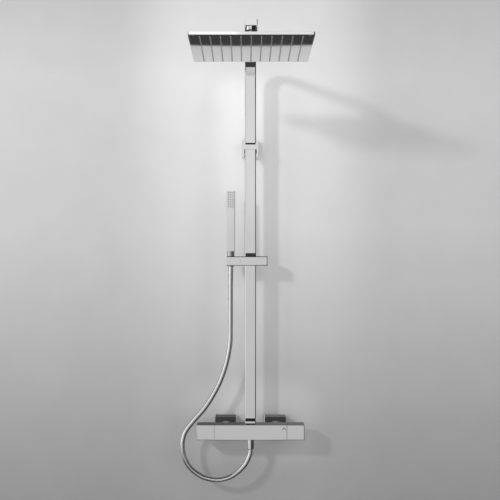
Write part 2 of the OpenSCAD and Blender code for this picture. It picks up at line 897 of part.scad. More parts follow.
module holder_body() {
    color("silver") on_bar() difference() {
        translate([0, 0, slider_z]) bar_x(holder_d, slider_h, slider_edge_r,
            -holder_left, -holder_right);
        translate([-handset_x, 0, 0]) {
            rod_z(liner_r, slider_low - far, slider_top + far);
            hose_slot();
        }
        translate([0, 0, slider_z]) {
            rod_x(pin_r, -pin_in, -holder_right + far);
            rod_x(pin_r + 2, -holder_right - 0.3, -holder_right + far);
        }
    }
}

module holder_liner() {
    color("dimgray") on_bar() translate([-handset_x, 0, 0]) difference() {
        rod_z(liner_r - slip, slider_low, slider_top);
        cone_space(seat, slider_low - far, slider_top + far);
        hose_slot();
    }
}

// Handset

module cone_nut() {
    color("silver") on_bar() translate([-handset_x, 0, 0]) difference() {
        union() {
            cone_space(0, cone_low, slider_top);
            rod_z(cone_collar_r - 1, slider_top, slider_top + seat + 1);
            rod_z(cone_collar_r, slider_top + seat, collar_top);
        }
        rod_z(hose_r + slip, cone_low - far, collar_top - 4);
        rod_z(outlet_bore, cone_low, collar_top + far);
    }
}

module handset_core() {
    color("white") on_bar() translate([-handset_x, 0, 0]) difference() {
        rod_z(cone_collar_r - 2, collar_top + 1, spray_low);
        rod_z(outlet_bore, collar_top, spray_low + far);
    }
}

module handset_shell() {
    color("silver") on_bar() translate([-handset_x, 0, 0]) difference() {
        bar_z(handset_w, handset_d, 1.5, collar_top, handset_top);
        bar_z(handset_w - 2 * handset_wall, handset_d - 2 * handset_wall, 1,
            collar_top + 1, handset_top - handset_wall);
        rod_z(outlet_bore, collar_top - far, collar_top + 2);
        translate([0, 0, spray_low + spray_h / 2]) {
            bar_y(spray_w, spray_h - 2 * spray_margin, 0.8,
                handset_d / 2 - spray_t, handset_d / 2 + far);
            bar_y(spray_open_w, spray_open_h, 0.8, 0, handset_d);
        }
        translate([-handset_w, -handset_d / 2 - far, spray_low - 0.4])
            cube([2 * handset_w, far + 0.5, 0.8]);
    }
}

module spray_grid() {
    for (i = [0:spray_columns - 1]) for (k = [0:spray_rows - 1])
        translate([(i - (spray_columns - 1) / 2) * spray_pitch,
            (k - (spray_rows - 1) / 2) * spray_row_pitch]) children();
}

module spray_plate() {
    color("silver") on_bar() translate([-handset_x, spray_t - handset_d / 2,
        spray_low + spray_h / 2]) rotate([90, 0, 0]) linear_extrude(spray_t) difference() {
            polygon(round_rect(spray_w - 2 * fit, spray_h - 2 * spray_margin - 2 * fit, 0.8));
            spray_grid() circle(r = spray_hole_r);
        }
}

module handset_nozzles() {
    mat_y = spray_t + mat_t - handset_d / 2 + fit;
    color("dimgray") on_bar()
        translate([-handset_x, mat_y, spray_low + spray_h / 2]) rotate([90, 0, 0]) {
            linear_extrude(mat_t)
                polygon(round_rect(spray_open_w - seat, spray_open_h - seat, 0.7));
            linear_extrude(mat_t + spray_t + 0.5) spray_grid() circle(r = spray_tip_r);
        }
}

// Swivel joint and rain head

module at_head() {
    translate([0, head_y, 0]) children();
}

module swivel_connector() {
    color("silver") at_head() difference() {
        union() {
            rod_z(connector_r, connector_z, arm_low - seat);
            rod_z(neck_ball_r, ball_z, connector_z + far);
            translate([0, 0, ball_z]) sphere(r = ball_r);
        }
        rod_z(water_r, ball_z - ball_r - far, connector_z + 2);
        rod_z(outlet_r + slip, connector_z + 1.3, arm_z);
        translate([-ball_r, -ball_r, ball_z - ball_r - far])
            cube([2 * ball_r, 2 * ball_r, 3 + far]);
    }
}

module ball_liner() {
    color("white") at_head() difference() {
        intersection() {
            translate([0, 0, ball_z]) sphere(r = liner_out);
            rod_z(liner_out + far, ball_z - 7.5, ball_z + 6.5);
        }
        translate([0, 0, ball_z]) sphere(r = liner_in);
    }
}

module head_collar() {
    color("silver") at_head() difference() {
        rod_z(head_collar_r, head_collar_low, head_collar_top);
        rod_z(boss_r + slip, head_collar_low - far, ball_z + fit);
        translate([0, 0, ball_z]) sphere(r = pocket_r);
    }
}

module head_top() {
    color("silver") at_head() difference() {
        union() {
            bar_z(head_w, head_d, head_r, head_z, head_top_z);
            rod_z(boss_r, head_top_z - far, ball_z);
            translate([0, 0, head_top_z - 0.1])
                cylinder(r1 = head_collar_r + 8, r2 = boss_r + far, h = 8);
        }
        bar_z(head_w - 2 * head_wall, head_d - 2 * head_wall, head_r - head_wall / 2,
            head_z - far, head_top_z - top_t);
        translate([0, 0, ball_z]) sphere(r = pocket_r);
        rod_z(water_r + 1, head_z, ball_z);
    }
}

module head_gasket() {
    gasket_low = head_z + plate_t;
    color("black") at_head() difference() {
        bar_z(head_w - 2 * head_wall - 1, head_d - 2 * head_wall - 1, 1.5,
            gasket_low, head_top_z - top_t);
        bar_z(head_w - 2 * head_wall - 9, head_d - 2 * head_wall - 9, 1.5,
            gasket_low - far, head_top_z);
        for (sx = [-1, 1]) for (sy = [-1, 1])
            translate([sx * head_screw_x, sy * head_screw_y, 0])
                rod_z(1.8, gasket_low - far, head_top_z);
    }
}

module nozzle_grid() {
    for (i = [0:nozzle_columns - 1]) for (k = [0:nozzle_rows - 1])
        translate([(i - (nozzle_columns - 1) / 2) * nozzle_pitch_x,
            (k - (nozzle_rows - 1) / 2) * nozzle_pitch_y]) children();
}

module screw_corners() {
    for (sx = [-1, 1]) for (sy = [-1, 1])
        translate([sx * head_screw_x, sy * head_screw_y]) children();
}

module head_plate() {
    color("silver") at_head() translate([0, 0, head_z]) linear_extrude(plate_t) difference() {
        polygon(round_rect(head_w - 2 * head_wall - 2 * fit, head_d - 2 * head_wall - 2 * fit,
            head_r - head_wall / 2));
        nozzle_grid() circle(r = nozzle_hole_r);
        screw_corners() circle(r = 1.8);
    }
}

module head_nozzles() {
    color("dimgray") at_head() {
        translate([0, 0, head_z + plate_t]) linear_extrude(mat_t) difference() {
            polygon(round_rect(head_w - 2 * head_wall - 10, head_d - 2 * head_wall - 10, 1.5));
            screw_corners() circle(r = 2.4);
        }
        translate([0, 0, head_z - nozzle_drop])
            linear_extrude(nozzle_drop + plate_t + mat_t) nozzle_grid() circle(r = nozzle_r);
    }
}

module head_screws() {
    color("gray") at_head() for (sx = [-1, 1]) for (sy = [-1, 1])
        translate([sx * head_screw_x, sy * head_screw_y, 0])
            rod_z(1.6, head_z + 0.2, head_top_z - top_t);
}

mixer_casing();
waterway_core();
thermostatic_cartridge();
diverter_cartridge();
retaining_rings();
check_valves();
inlet_washers();
union_nuts();
wall_unions();
left_wall_cover();
right_wall_cover();
cover_seals();
hose_washer();
hose_nut();
hose();
riser_socket();
riser_gasket();
lower_riser();
riser_coupling();
coupling_seals();
joint_collar();
upper_riser();
arm_end_cap();
arm_nipple();
bracket_base();
bracket_plate();
bracket_arm();
bracket_liner();
bracket_grub_screw();
wall_screws();
temperature_handle();
temperature_hub();
temperature_spindle();
temperature_grub_screw();
flow_handle();
flow_hub();
flow_spindle();
flow_grub_screw();
slider_body();
slider_bush();
brake_pad();
pivot_pin();
button_spring();
release_button();
holder_body();
holder_liner();
handset_shell();
handset_core();
spray_plate();
handset_nozzles();
cone_nut();
swivel_connector();
ball_liner();
head_top();
head_gasket();
head_plate();
head_nozzles();
head_collar();
head_screws();
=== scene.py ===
"""Looks of a wall-mounted shower system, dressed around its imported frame.

The frame holds every rigid piece at its real size and place. This script gives each piece its finish,
softens its edges, replaces what a plain solid can't show, such as the hose, and sets the studio.
Lengths are in metres, +Z is up, +X is right and the wall is the plane y = 0.
"""

import json
import logging
import math
from dataclasses import dataclass
from enum import Enum
from typing import Callable, Iterable, Optional, Sequence

import bmesh
import bpy
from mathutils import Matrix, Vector

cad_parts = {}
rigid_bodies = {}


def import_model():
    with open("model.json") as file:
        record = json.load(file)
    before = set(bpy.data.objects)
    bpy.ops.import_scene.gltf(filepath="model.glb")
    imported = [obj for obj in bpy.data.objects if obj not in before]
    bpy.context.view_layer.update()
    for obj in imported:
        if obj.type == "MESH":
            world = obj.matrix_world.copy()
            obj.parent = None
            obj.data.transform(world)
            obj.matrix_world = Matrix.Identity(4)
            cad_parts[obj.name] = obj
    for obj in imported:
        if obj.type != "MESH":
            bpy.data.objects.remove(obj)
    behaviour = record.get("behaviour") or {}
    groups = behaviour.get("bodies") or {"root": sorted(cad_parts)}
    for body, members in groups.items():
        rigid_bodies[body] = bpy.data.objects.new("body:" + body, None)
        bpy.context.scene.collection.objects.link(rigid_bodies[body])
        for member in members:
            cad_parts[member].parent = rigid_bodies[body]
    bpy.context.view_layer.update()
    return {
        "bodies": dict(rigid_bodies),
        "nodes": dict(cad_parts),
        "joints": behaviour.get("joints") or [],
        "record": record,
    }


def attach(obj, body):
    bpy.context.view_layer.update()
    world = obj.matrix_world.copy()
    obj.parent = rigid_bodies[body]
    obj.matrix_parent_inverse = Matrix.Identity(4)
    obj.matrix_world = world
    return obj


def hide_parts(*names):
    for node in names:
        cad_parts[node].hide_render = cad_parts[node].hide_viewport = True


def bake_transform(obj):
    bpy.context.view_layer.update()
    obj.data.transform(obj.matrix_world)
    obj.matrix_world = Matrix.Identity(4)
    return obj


Rgb = tuple[float, float, float]
Point = tuple[float, float, float]
Pair = tuple[float, float]
Socket = bpy.types.NodeSocket
Outputs = bpy.types.bpy_prop_collection
Mesh = bmesh.types.BMesh

LOG = logging.getLogger("shower_system")
MM = 0.001
# The left and the right one of a pair
SIDES = (-1, 1)
# Distance from the wall to the axis of the mixer, in whose plane the hose hangs
AXIS_DEPTH = 60 * MM
# The values of a noise between which nearly all of it lies
NOISE_SPREAD = (0.3, 0.7)
# Patches of colour for each patch of roughness
TONE_PATCHES = 1.7
LEAST_ROUGHNESS = 0.005
# Places of a Mix node's colour sockets
MIX_FIRST, MIX_SECOND, MIX_RESULT = 6, 7, 2
# The crest's and the flank's share of half a thread pitch
THREAD_CREST, THREAD_FLANK = 0.12, 0.76


class Slot(Enum):
    """The material slots that the record names."""

    CHROME = "chrome"
    BRASS = "brass"
    STEEL = "steel"
    BLACK_RUBBER = "black_rubber"
    BLACK_PLASTIC = "black_plastic"
    WHITE_PLASTIC = "white_plastic"
    GREY_PLASTIC = "grey_plastic"
    GREY_SILICONE = "grey_silicone"
    HOSE_METAL = "hose_metal"


class Body(Enum):
    """The bodies of the frame; the pieces of this script that are attached move with the root."""

    ROOT = "root"
    SLIDER = "slider"
    BUTTON = "release_button"
    HOLDER = "holder"


class Graph:
    """A small builder of nodes."""

    def __init__(self, tree: bpy.types.NodeTree) -> None:
        """Clears the tree of a material, a world or a node group and keeps it."""
        self.tree = tree
        self.tree.nodes.clear()

    def add(self, kind: str, inputs: Optional[dict] = None, **settings: object) -> Outputs:
        """Adds a node.

        Args:
            kind: The node's type name.
            inputs: A socket, a number or a tuple for each input, by its name or place.
            **settings: Attributes to set on the node.

        Returns:
            The node's outputs.
        """
        node = self.tree.nodes.new(kind)
        for key, value in settings.items():
            setattr(node, key, value)
        for key, value in (inputs or {}).items():
            if isinstance(value, Socket):
                self.tree.links.new(value, node.inputs[key])
            else:
                node.inputs[key].default_value = value
        return node.outputs

    def math(self, operation: str, *values: object) -> Socket:
        """Returns the result of a Math node that is fed with sockets or numbers."""
        return self.add("ShaderNodeMath", dict(enumerate(values)), operation=operation)[0]

    def ramp(self, value: object, start: float, end: float, low: float = 0.0,
             high: float = 1.0, smooth: bool = True) -> Socket:
        """Maps start to low and end to high, held at both ends; smooth eases in and out."""
        inputs = {"Value": value, "From Min": start, "From Max": end, "To Min": low, "To Max": high}
        return self.add("ShaderNodeMapRange", inputs,
                        interpolation_type="SMOOTHSTEP" if smooth else "LINEAR")["Result"]

    def noise(self, place: Socket, scale: float, detail: float = 2.0) -> Socket:
        """Returns a noise of so many patches per metre, with detail octaves of finer noise."""
        return self.add("ShaderNodeTexNoise", {"Vector": place, "Scale": scale, "Detail": detail})["Fac"]

    def mottle(self, place: Socket, scale: float, detail: float, low: float, high: float) -> Socket:
        """Returns a noise that wanders between two values."""
        return self.ramp(self.noise(place, scale, detail), *NOISE_SPREAD, low, high)

    def coords(self, kind: str = "Object") -> Socket:
        """Returns the texture coordinates of one kind."""
        return self.add("ShaderNodeTexCoord")[kind]

    def split(self, vector: Socket) -> Outputs:
        """Returns a vector's parts, by the names X, Y and Z."""
        return self.add("ShaderNodeSeparateXYZ", {0: vector})

    def mix_colors(self, share: Socket, first: Rgb, second: Rgb) -> Socket:
        """Mixes two colours by the second one's share."""
        inputs = {0: share, MIX_FIRST: (*first, 1.0), MIX_SECOND: (*second, 1.0)}
        return self.add("ShaderNodeMix", inputs, data_type="RGBA")[MIX_RESULT]

    def background(self, strength: object, color: Rgb = (1.0, 1.0, 1.0)) -> Socket:
        """Returns a background shader of the strength, a socket or a number."""
        return self.add("ShaderNodeBackground", {"Strength": strength, "Color": (*color, 1.0)})[0]

    def mix_shaders(self, share: Socket, first: Socket, second: Socket) -> Socket:
        """Mixes two shaders by the second one's share."""
        return self.add("ShaderNodeMixShader", {0: share, 1: first, 2: second})[0]


def new_material(name: str) -> tuple[bpy.types.Material, Graph]:
    """Makes an empty material.

    Args:
        name: Its name.

    Returns:
        The material and the builder of its nodes.
    """
    made = bpy.data.materials.new(name)
    made.use_nodes = True
    return made, Graph(made.node_tree)


@dataclass(frozen=True)
class Finish:
    """A surface finish: its colour, its gloss and the fine marks that break it up.

    Attributes:
        name, color, metallic: Name of the material, its linear base colour, and 1 for a metal.
        roughness, wander, patch: Middle roughness, how far it goes up and down, and patches per metre.
        tone: How far the colour goes up and down, as a share.
        grain, grain_scale, stretch: Height of the fine relief in metres, grains per metre, and how it is
            drawn out along X, Y and Z.
        specular, coat: Specular level of a non-metal, and strength of a clear coat.
    """

    name: str
    color: Rgb
    metallic: float = 0.0
    roughness: float = 0.5
    wander: float = 0.06
    patch: float = 60.0
    tone: float = 0.03
    grain: float = 0.00001
    grain_scale: float = 900.0
    specular: float = 0.5
    coat: float = 0.0
    stretch: Point = (1.0, 1.0, 1.0)

    def place(self, graph: Graph) -> Socket:
        """Returns the coordinates that the marks follow, in metres."""
        return graph.add("ShaderNodeMapping", {"Vector": graph.coords(), "Scale": self.stretch})["Vector"]

    def height(self, graph: Graph, place: Socket) -> Socket:
        """Returns the fine relief, from 0 to 1."""
        return graph.noise(place, self.grain_scale, 3.0)

    def color_socket(self, graph: Graph, place: Socket) -> Socket:
        """Gives the colour, which drifts a little across the surface.

        Args:
            graph: The material's graph.
            place: The coordinates that it follows.

        Returns:
            Its socket.
        """
        low = tuple(c * (1 - self.tone) for c in self.color)
        high = tuple(min(1.0, c * (1 + self.tone)) for c in self.color)
        return graph.mix_colors(graph.noise(place, self.patch * TONE_PATCHES), low, high)

    def material(self) -> bpy.types.Material:
        """Builds the material, or finds the one that has its name already.

        The frame brings plain materials named black_plastic and grey_plastic, which are found so.

        Returns:
            The material.
        """
        found = bpy.data.materials.get(self.name)
        if found is not None:
            return found
        made, graph = new_material(self.name)
        place = self.place(graph)
        least = max(LEAST_ROUGHNESS, self.roughness - self.wander)
        bump = {"Distance": self.grain, "Height": self.height(graph, place)}
        shader = graph.add("ShaderNodeBsdfPrincipled", {
            "Base Color": self.color_socket(graph, place),
            "Metallic": self.metallic,
            "Roughness": graph.mottle(place, self.patch, 4.0, least, self.roughness + self.wander),
            "Specular IOR Level": self.specular,
            "Coat Weight": self.coat,
            "Normal": graph.add("ShaderNodeBump", bump)["Normal"],
        })
        graph.add("ShaderNodeOutputMaterial", {"Surface": shader[0]})
        return made


@dataclass(frozen=True)
class FrontLitSilicone(Finish):
    """Silicone with painted light: its colour is paler towards the front of the piece, where the front
    nozzles look lit.

    Attributes:
        front, rear: Y of the front edge, where it is palest, and of the rear one, where it isn't.
        pale: Colour at the front edge, the painted light.
    """

    front: float = -0.43
    rear: float = -0.13
    pale: Rgb = (0.5, 0.5, 0.5)

    def color_socket(self, graph: Graph, place: Socket) -> Socket:
        """Returns the colour, painted light that goes from the pale one at the front to the base colour."""
        share = graph.ramp(graph.split(place)["Y"], self.front, self.rear)
        return graph.mix_colors(share, self.pale, self.color)


@dataclass(frozen=True)
class HoseJacket(Finish):
    """A clear jacket over a wound metal strip, whose edges show as a fine helix.

    Attributes:
        pitch: Distance between the edges of the strip along the hose.
        groove: Where its edge starts and ends, in pitches from its middle.
    """

    pitch: float = 2.2 * MM
    groove: Pair = (0.3, 0.5)

    def place(self, graph: Graph) -> Socket:
        """Returns the hose's own coordinates: turns round it and metres along it."""
        return graph.coords("UV")

    def height(self, graph: Graph, place: Socket) -> Socket:
        """Gives the relief of the wound strip.

        Args:
            graph: The material's graph.
            place: The hose's own coordinates.

        Returns:
            The socket of its height, from 0 to 1.
        """
        parts = graph.split(place)
        along = graph.math("DIVIDE", parts["Y"], self.pitch)
        turn = graph.math("FRACT", graph.math("ADD", along, parts["X"]))
        middle = graph.math("ABSOLUTE", graph.math("SUBTRACT", turn, 0.5))
        return graph.ramp(middle, *self.groove, 1.0, 0.0)


CHROME = Finish("polished_chrome", (0.868, 0.87, 0.873), metallic=1.0, roughness=0.022, wander=0.008,
                patch=22.0, tone=0.006, grain=0.000002, grain_scale=16.0)
SPRAY_CHROME = Finish("spray_face_chrome", (0.868, 0.87, 0.873), metallic=1.0, roughness=0.02, wander=0.006,
                      patch=30.0, tone=0.006, grain=0.000001, grain_scale=12.0)
BRASS = Finish("machined_brass", (0.72, 0.55, 0.27), metallic=1.0, roughness=0.26, patch=90.0, tone=0.06,
               grain=0.000012, grain_scale=700.0, stretch=(1.0, 8.0, 8.0))
STEEL = Finish("plain_steel", (0.56, 0.56, 0.57), metallic=1.0, roughness=0.3, wander=0.07, patch=160.0,
               tone=0.05, grain=0.000008, stretch=(1.0, 6.0, 1.0))
BLACK_RUBBER = Finish("matt_black_rubber", (0.012, 0.012, 0.013), roughness=0.62, wander=0.08, patch=120.0,
                      tone=0.2, grain=0.00003, grain_scale=2200.0, specular=0.35)
BLACK_PLASTIC = Finish("black_plastic", (0.01, 0.01, 0.011), roughness=0.38, patch=80.0, tone=0.15,
                       grain=0.000015, grain_scale=1800.0, specular=0.45)
WHITE_PLASTIC = Finish("natural_white_plastic", (0.78, 0.77, 0.73), roughness=0.4, grain_scale=1500.0)
GREY_PLASTIC = Finish("grey_plastic", (0.11, 0.11, 0.115), roughness=0.42, tone=0.08, grain=0.000012,
                      grain_scale=1500.0)
GREY_SILICONE = Finish("soft_grey_silicone", (0.25, 0.25, 0.255), roughness=0.45, wander=0.07, patch=200.0,
                       tone=0.08, grain_scale=2500.0, specular=0.45)
# Painted light: the head's nozzles are paler towards the front, where they look lit
HEAD_SILICONE_FRONT_LIT = FrontLitSilicone("head_nozzles_painted_light", (0.09, 0.09, 0.092), roughness=0.4, patch=200.0,
                               grain_scale=2500.0, specular=0.45)
DARK_SILICONE = Finish("dark_grey_silicone", (0.07, 0.07, 0.072), roughness=0.42, patch=200.0, tone=0.08,
                       grain_scale=2500.0, specular=0.45)
# Black rubber of the seals in the covers; these dark seals also stand in for the shade between the covers and
# the mixer
COVER_SEAL_PAINTED_SHADE = Finish("cover_seal_rubber_painted_shade", (0.035, 0.035, 0.036), roughness=0.3, wander=0.08, tone=0.15,
                      grain=0.00002)
HOSE_METAL = HoseJacket("hose_jacket", (0.88, 0.882, 0.886), metallic=0.95, roughness=0.17, wander=0.02,
                        patch=90.0, tone=0.02, grain=0.00004, coat=0.3)
# Painted shade: a darker copy of chrome for the union nuts, which sit in shade between the covers and the
# mixer
SHADED_NUT = Finish("union_nut_painted_shade", (0.28, 0.28, 0.285), metallic=1.0, roughness=0.12, wander=0.04,
                    tone=0.04, grain=0.000006, grain_scale=400.0)
SATIN_CHROME = Finish("satin_chrome", (0.56, 0.56, 0.565), metallic=1.0, roughness=0.1, wander=0.03,
                      grain=0.000004, grain_scale=300.0)

FINISH_OF: dict[Slot, Finish] = dict(zip(Slot, (
    CHROME, BRASS, STEEL, BLACK_RUBBER, BLACK_PLASTIC, WHITE_PLASTIC, GREY_PLASTIC, GREY_SILICONE, HOSE_METAL,
)))
# Nodes whose finish differs from that of their slot
SPECIAL_FINISH: dict[str, Finish] = {
    "head_plate": SPRAY_CHROME, "cover_seals": COVER_SEAL_PAINTED_SHADE, "handset_nozzles": DARK_SILICONE,
    "head_nozzles": HEAD_SILICONE_FRONT_LIT, "union_nuts": SHADED_NUT, "cone_nut": SATIN_CHROME,
}
# Width of the round on the edges of the nodes that show, in millimetres
ROUND_OF: dict[str, float] = {name: width for width, names in (
    (0.15, "spray_plate"),
    (0.2, "joint_collar slider_bush"),
    (0.25, "handset_nozzles"),
    (0.3, "cover_seals bracket_liner riser_socket riser_gasket bracket_base release_button cone_nut hose_nut "
          "swivel_connector wall_unions"),
    (0.35, "mixer_casing temperature_handle flow_handle"),
    (0.4, "left_wall_cover right_wall_cover union_nuts slider_body holder_body head_top head_nozzles "
          "head_collar"),
    (0.5, "arm_end_cap handset_shell"),
    (0.9, "lower_riser upper_riser bracket_plate bracket_arm"),
) for name in names.split()}
# Nodes that the polished faces near them don't mirror, as in the photograph
UNMIRRORED = ("cover_seals left_wall_cover right_wall_cover upper_riser arm_end_cap arm_nipple "
              "swivel_connector ball_liner head_top head_plate head_nozzles head_gasket head_collar "
              "head_screws").split()


def linked(name: str, data: bpy.types.ID) -> bpy.types.Object:
    """Makes an object of a mesh, a lamp or a camera and links it to the scene.

    Args:
        name: Name of the object.
        data: What it shows.

    Returns:
        The object.
    """
    made = bpy.data.objects.new(name, data)
    bpy.context.scene.collection.objects.link(made)
    return made


def new_object(name: str, mesh: Mesh, finish: Finish, smooth: bool = True) -> bpy.types.Object:
    """Turns a bmesh into a scene object with one finish.

    Args:
        name: Name of the piece.
        mesh: The bmesh, which is freed.
        finish: Its finish.
        smooth: Whether its faces are shaded smooth, apart from the edges that are marked as sharp.

    Returns:
        The linked object.
    """
    bmesh.ops.recalc_face_normals(mesh, faces=mesh.faces)
    data = bpy.data.meshes.new(name)
    mesh.to_mesh(data)
    mesh.free()
    for face in data.polygons:
        face.use_smooth = smooth
    data.materials.append(finish.material())
    return linked(name, data)


@dataclass
class EdgeDressing:
    """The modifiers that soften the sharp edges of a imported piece.

    Attributes:
        width, steps: Width of the round on each edge, and the faces across it.
        weld: Distance within which doubled corners are joined.
        angle, flat: Edges sharper than angle are rounded, faces that differ by less than flat are
            joined, both in degrees.
        flat_weight: How strongly the large faces set the shading of the rounds.
    """

    width: float
    weld: float = 0.002 * MM
    angle: float = 40.0
    flat: float = 0.3
    steps: int = 3
    flat_weight: int = 60

    def smooth_group(self) -> bpy.types.NodeTree:
        """Builds the nodes that join doubled corners and shade by angle, or finds them if built before.

        Returns:
            The node group.
        """
        name = "smooth_by_angle"
        found = bpy.data.node_groups.get(name)
        if found is not None:
            return found
        tree = bpy.data.node_groups.new(name, "GeometryNodeTree")
        for way in ("INPUT", "OUTPUT"):
            tree.interface.new_socket("Geometry", in_out=way, socket_type="NodeSocketGeometry")
        graph = Graph(tree)
        packed = graph.add("NodeGroupInput")[0]
        merged = graph.add("GeometryNodeMergeByDistance", {"Geometry": packed, "Distance": self.weld})[0]
        faces = graph.add("GeometryNodeSetShadeSmooth", {"Geometry": merged})[0]
        angle = graph.add("GeometryNodeInputMeshEdgeAngle")["Unsigned Angle"]
        gentle = graph.add("FunctionNodeCompare", {0: angle, 1: math.radians(self.angle)},
                           operation="LESS_THAN")[0]
        edges = graph.add("GeometryNodeSetShadeSmooth", {"Geometry": faces, "Shade Smooth": gentle},
                          domain="EDGE")[0]
        graph.add("NodeGroupOutput", {0: edges})
        return tree

    def dress(self, piece: bpy.types.Object) -> None:
        """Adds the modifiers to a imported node's object.

        Args:
            piece: The object.
        """
        for name, kind, settings in (
                ("smooth", "NODES", {"node_group": self.smooth_group()}),
                ("join_flats", "DECIMATE", {"decimate_type": "DISSOLVE", "delimit": {"SHARP"},
                                            "angle_limit": math.radians(self.flat)}),
                ("edge_round", "BEVEL", {"width": self.width, "segments": self.steps, "limit_method": "ANGLE",
                                         "angle_limit": math.radians(self.angle)}),
                ("face_normals", "WEIGHTED_NORMAL", {"keep_sharp": True, "weight": self.flat_weight})):
            modifier = piece.modifiers.new(name, kind)
            for key, value in settings.items():
                setattr(modifier, key, value)


@dataclass
class CadDresser:
    """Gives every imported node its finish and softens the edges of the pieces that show."""

    frame: dict

    def dress(self) -> None:
        """Dresses all the nodes."""
        for part in sorted(self.frame["record"]["subparts"], key=lambda part: part["node"]):
            name = part["node"]
            piece = self.frame["nodes"][name]
            finish = SPECIAL_FINISH.get(name, FINISH_OF[Slot(part["material_slot"])])
            piece.data.materials.clear()
            piece.data.materials.append(finish.material())
            piece.visible_glossy = name not in UNMIRRORED
            if name in ROUND_OF:
                EdgeDressing(ROUND_OF[name] * MM).dress(piece)
            LOG.info("dressed %s in %s", name, finish.name)


def smooth_curve(points: Sequence[Vector], step: float) -> list[Vector]:
    """Draws a smooth line through the points.

    Args:
        points: The points that the line passes through.
        step: About how far apart the line's own points are.

    Returns:
        The line's points, from the first to the last.
    """
    padded = [2 * points[0] - points[1], *points, 2 * points[-1] - points[-2]]
    line = []
    for a, b, c, d in zip(padded, padded[1:], padded[2:], padded[3:]):
        count = max(2, round((c - b).length / step))
        for i in range(count):
            t = i / count
            line.append(0.5 * (2 * b + (c - a) * t + (2 * a - 5 * b + 4 * c - d) * t * t
                               + (3 * b - 3 * c + d - a) * t ** 3))
    line.append(points[-1].copy())
    return line


def line_length(points: Sequence[Vector]) -> float:
    """Returns the length of a line of points."""
    return sum((b - a).length for a, b in zip(points, points[1:]))


def sweep(line: Sequence[Vector], radius: float, around: int = 20) -> Mesh:
    """Sweeps a circle along a line that lies in an upright plane along the wall.

    Args:
        line: The points of the line.
        radius: The radius of the circle.
        around: Number of faces round the tube.

    Returns:
        A closed tube with UVs: turns round it and metres along it.
    """
    mesh = bmesh.new()
    uv_layer = mesh.loops.layers.uv.new("UVMap")
    side = Vector((0, 1, 0))
    rings = []
    along = [0.0]
    for a, b in zip(line, line[1:]):
        along.append(along[-1] + (b - a).length)
    for i, point in enumerate(line):
        heading = (line[min(i + 1, len(line) - 1)] - line[max(i - 1, 0)]).normalized()
        across = side.cross(heading).normalized()
        up = heading.cross(across)
        rings.append([mesh.verts.new(point + radius * (math.cos(a) * across + math.sin(a) * up))
                      for a in (2 * math.pi * k / around for k in range(around))])
    for i, (low, high) in enumerate(zip(rings, rings[1:])):
        for k in range(around):
            n = (k + 1) % around
            face = mesh.faces.new((low[k], low[n], high[n], high[k]))
            spots = ((k, i), (k + 1, i), (k + 1, i + 1), (k, i + 1))
            for loop, (turn, ring) in zip(face.loops, spots):
                loop[uv_layer].uv = (turn / around, along[ring])
    for ring in (rings[0], rings[-1]):
        for edge in mesh.faces.new(ring).edges:
            edge.smooth = False
    return mesh


@dataclass
class Hose:
    """The hose from the nut under the mixer to the conical nut of the handset.

    Attributes:
        route: Points of the route in its plane, x and z in millimetres.
        entry, entry_steps: How far the hose goes up into the conical nut, and in how many rings.
        still: Height below which the hose would stay with the mixer; not used.
        reach: How far up and to the left of there it would move fully with the slider; not used.
        split: Height where the upper piece, which runs up into the conical nut, begins.
        nut_foot: Height below the conical nut from which the hose would tilt fully with the holder; not used.
        step: Distance between the rings of the mesh.
    """

    radius: float = 7 * MM
    route: Sequence[Pair] = (
        (0, -51.2), (0, -57), (-1.8, -67), (-7, -81), (-16.8, -98), (-33.8, -115.6), (-56, -130.8),
        (-78, -138.3), (-97, -140.4), (-114, -138.6), (-136.7, -132.4), (-161.5, -117),
        (-178.4, -99.4), (-191, -75), (-196, -48), (-194.6, -24), (-185.8, 1), (-163.6, 29.8),
        (-133, 65), (-107.6, 103.5), (-86.7, 145), (-71.1, 189.5), (-62, 231), (-58.2, 262),
        (-57.8, 300), (-57.6, 340), (-57.6, 380), (-57.4, 420), (-56.9, 450), (-56.5, 473),
    )
    entry: float = 40 * MM
    entry_steps: int = 8
    still: float = -45 * MM
    reach: float = 276 * MM
    split: float = 410 * MM
    nut_foot: float = 470 * MM
    step: float = 4 * MM

    def build(self) -> None:
        line = smooth_curve([Vector((x * MM, -AXIS_DEPTH, z * MM)) for x, z in self.route], self.step)
        seam = next(i for i, p in enumerate(line) if p.z > self.split)
        hanging, top = line[:seam + 1], line[seam:]
        rise = Vector((0, 0, self.entry / self.entry_steps))
        top = top + [top[-1] + i * rise for i in range(1, self.entry_steps + 1)]
        hose = new_object("hose_run", sweep(hanging, self.radius), HOSE_METAL)
        end = new_object("hose_end", sweep(top, self.radius), HOSE_METAL)
        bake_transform(hose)
        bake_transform(end)
        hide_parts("hose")
        LOG.info("hose: %.3f m hanging, %.3f m up to the nut", line_length(hanging), line_length(line))


@dataclass
class ButtonSpring:
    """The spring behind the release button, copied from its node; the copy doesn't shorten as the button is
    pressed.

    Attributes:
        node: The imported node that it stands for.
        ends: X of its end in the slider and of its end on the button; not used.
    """

    node: str = "button_spring"
    ends: Pair = (25.2 * MM, 30.4 * MM)
    height: float = 489.5 * MM

    def build(self, frame: dict) -> None:
        """Builds the spring from its node's own mesh.
        """
        source = frame["nodes"][self.node]
        mesh = bmesh.new()
        mesh.from_mesh(source.data)
        mesh.transform(source.matrix_world)
        spring = new_object(self.node + "_coil", mesh, STEEL)
        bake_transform(spring)
        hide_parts(self.node)
        LOG.info("%s blended from the slider to the button", self.node)


